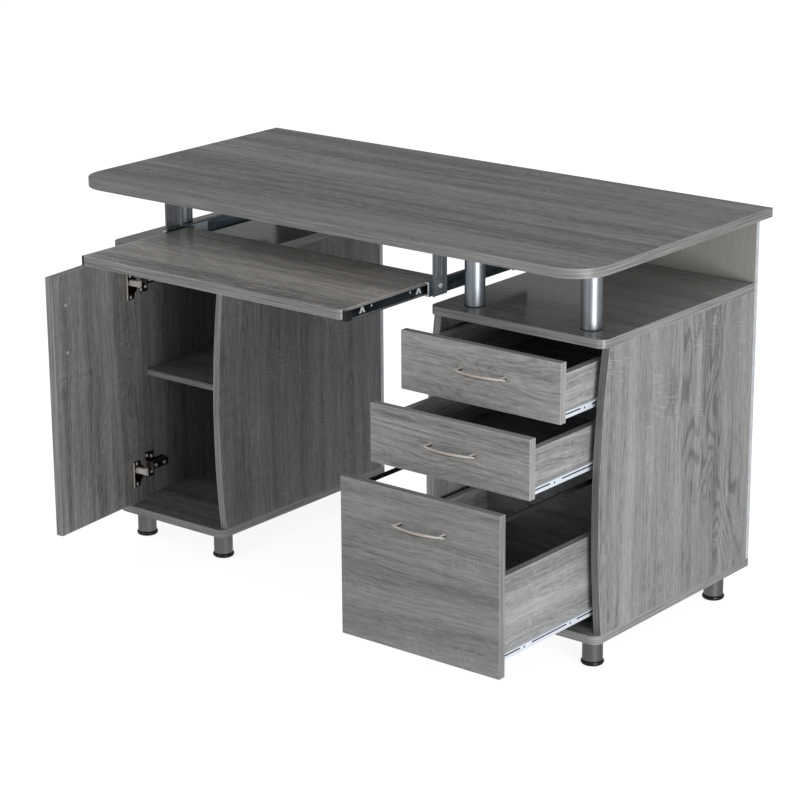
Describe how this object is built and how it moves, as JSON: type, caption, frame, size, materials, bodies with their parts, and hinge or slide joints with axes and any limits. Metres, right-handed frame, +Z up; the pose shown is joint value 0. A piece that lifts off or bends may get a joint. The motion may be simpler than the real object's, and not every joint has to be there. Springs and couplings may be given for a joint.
{
  "type": "writing desk with drawers",
  "caption": "Writing desk with a desktop on round posts over two pedestals, pull-out drawers, a hinged cabinet door and a sliding keyboard tray.",
  "frame": {"origin": "on the floor, under the middle of the desktop's footprint", "axes": "+X to the sitter's right, -Y towards the sitter, +Z up"},
  "size_m": [1.22, 0.8235, 0.762],
  "materials": {
    "panel_grey": "satin grey wood-grain laminate",
    "drawer_box": "satin grey wood-grain laminate",
    "back_panel": "matt grey-green board with pale edges",
    "chrome": "polished chrome tube",
    "handle_metal": "satin nickel",
    "white_rail": "white baked enamel",
    "nylon": "off-white nylon",
    "slide_steel": "zinc-plated steel",
    "bracket_steel": "dark brushed steel",
    "hinge_steel": "nickel-plated steel",
    "screw_steel": "zinc-plated steel",
    "black_plastic": "glossy black",
    "dark_plastic": "matt black",
    "black_metal": "black painted steel"
  },
  "bodies": {
    "frame": {"bracket_screws": "screw_steel", "cabinet_rails": "white_rail", "cover_caps": "nylon", "desktop": "panel_grey", "foot_glides": "black_plastic", "foot_tubes": "chrome", "hinge_arms": "hinge_steel", "hinge_base_plates": "hinge_steel", "hinge_screws": "hinge_steel", "left_back_panel": "back_panel", "left_bottom_panel": "panel_grey", "left_inner_side": "panel_grey", "left_outer_side": "panel_grey", "left_shelf": "panel_grey", "left_top_panel": "panel_grey", "post_screws": "screw_steel", "right_back_panel": "back_panel", "right_bottom_panel": "panel_grey", "right_inner_side": "panel_grey", "right_outer_side": "panel_grey", "right_top_panel": "panel_grey", "shelf_pins": "screw_steel", "support_posts": "chrome", "tray_brackets": "bracket_steel", "tray_outer_rails": "slide_steel"},
    "drawer_1": {"drawer_1_front": "panel_grey", "drawer_1_sides": "drawer_box", "drawer_1_back": "drawer_box", "drawer_1_bottom": "drawer_box", "drawer_1_handle": "handle_metal", "drawer_1_rails": "white_rail"},
    "drawer_1_rear_roller_pair": {"drawer_1_rear_rollers": "nylon"},
    "drawer_1_front_roller_pair": {"drawer_1_front_rollers": "nylon"},
    "drawer_2": {"drawer_2_front": "panel_grey", "drawer_2_sides": "drawer_box", "drawer_2_back": "drawer_box", "drawer_2_bottom": "drawer_box", "drawer_2_handle": "handle_metal", "drawer_2_rails": "white_rail"},
    "drawer_2_rear_roller_pair": {"drawer_2_rear_rollers": "nylon"},
    "drawer_2_front_roller_pair": {"drawer_2_front_rollers": "nylon"},
    "drawer_3": {"drawer_3_front": "panel_grey", "drawer_3_sides": "drawer_box", "drawer_3_back": "drawer_box", "drawer_3_bottom": "drawer_box", "drawer_3_handle": "handle_metal", "drawer_3_rails": "white_rail", "file_rails": "black_metal", "file_rail_clips": "nylon"},
    "drawer_3_rear_roller_pair": {"drawer_3_rear_rollers": "nylon"},
    "drawer_3_front_roller_pair": {"drawer_3_front_rollers": "nylon"},
    "door": {"door_panel": "panel_grey", "door_handle": "handle_metal", "door_handle_screws": "screw_steel", "hinge_cups": "hinge_steel", "hinge_links": "hinge_steel"},
    "tray": {"keyboard_tray": "panel_grey", "tray_inner_rails": "slide_steel", "tray_bumpers": "dark_plastic"},
    "tray_cages": {"tray_ball_cages": "slide_steel"}
  },
  "joints": [
    {"name": "drawer_1_slide", "type": "slide", "parent": "frame", "child": "drawer_1", "axis": [0, -1, 0], "range_m": [-0.123, 0.177]},
    {"name": "drawer_1_rear_roller_spin", "type": "hinge", "parent": "drawer_1", "child": "drawer_1_rear_roller_pair", "pos_m": [0.401, 0.077, 0.4971], "axis": [1, 0, 0], "range_deg": [-851.1, 1223.8]},
    {"name": "drawer_1_front_roller_spin", "type": "hinge", "parent": "frame", "child": "drawer_1_front_roller_pair", "pos_m": [0.401, -0.169, 0.4997], "axis": [1, 0, 0], "range_deg": [-851.1, 1223.8]},
    {"name": "drawer_2_slide", "type": "slide", "parent": "frame", "child": "drawer_2", "axis": [0, -1, 0], "range_m": [-0.211, 0.089]},
    {"name": "drawer_2_rear_roller_spin", "type": "hinge", "parent": "drawer_2", "child": "drawer_2_rear_roller_pair", "pos_m": [0.401, -0.011, 0.3831], "axis": [1, 0, 0], "range_deg": [-1458.6, 616.4]},
    {"name": "drawer_2_front_roller_spin", "type": "hinge", "parent": "frame", "child": "drawer_2_front_roller_pair", "pos_m": [0.401, -0.169, 0.3857], "axis": [1, 0, 0], "range_deg": [-1458.6, 616.4]},
    {"name": "drawer_3_slide", "type": "slide", "parent": "frame", "child": "drawer_3", "axis": [0, -1, 0], "range_m": [-0.2955, 0.0045]},
    {"name": "drawer_3_rear_roller_spin", "type": "hinge", "parent": "drawer_3", "child": "drawer_3_rear_roller_pair", "pos_m": [0.401, -0.0955, 0.1046], "axis": [1, 0, 0], "range_deg": [-2041.9, 33.1]},
    {"name": "drawer_3_front_roller_spin", "type": "hinge", "parent": "frame", "child": "drawer_3_front_roller_pair", "pos_m": [0.401, -0.169, 0.1072], "axis": [1, 0, 0], "range_deg": [-2041.9, 33.1]},
    {"name": "door_hinge", "type": "hinge", "parent": "frame", "child": "door", "pos_m": [-0.5754, -0.2063, 0.339], "axis": [0, 0, 1], "range_deg": [-26, 84]},
    {"name": "tray_slide", "type": "slide", "parent": "frame", "child": "tray", "axis": [0, -1, 0], "range_m": [-0.225, 0]},
    {"name": "cage_slide", "type": "slide", "parent": "frame", "child": "tray_cages", "axis": [0, -1, 0], "range_m": [-0.1125, 0]}
  ],
  "couplings": [
    {"joint": "drawer_1_front_roller_spin", "follows": "drawer_1_slide", "rad_per_m": 120.48},
    {"joint": "drawer_1_rear_roller_spin", "follows": "drawer_1_slide", "rad_per_m": 120.48},
    {"joint": "drawer_2_front_roller_spin", "follows": "drawer_2_slide", "rad_per_m": 120.48},
    {"joint": "drawer_2_rear_roller_spin", "follows": "drawer_2_slide", "rad_per_m": 120.48},
    {"joint": "drawer_3_front_roller_spin", "follows": "drawer_3_slide", "rad_per_m": 120.48},
    {"joint": "drawer_3_rear_roller_spin", "follows": "drawer_3_slide", "rad_per_m": 120.48},
    {"joint": "cage_slide", "follows": "tray_slide", "ratio": 0.5}
  ]
}
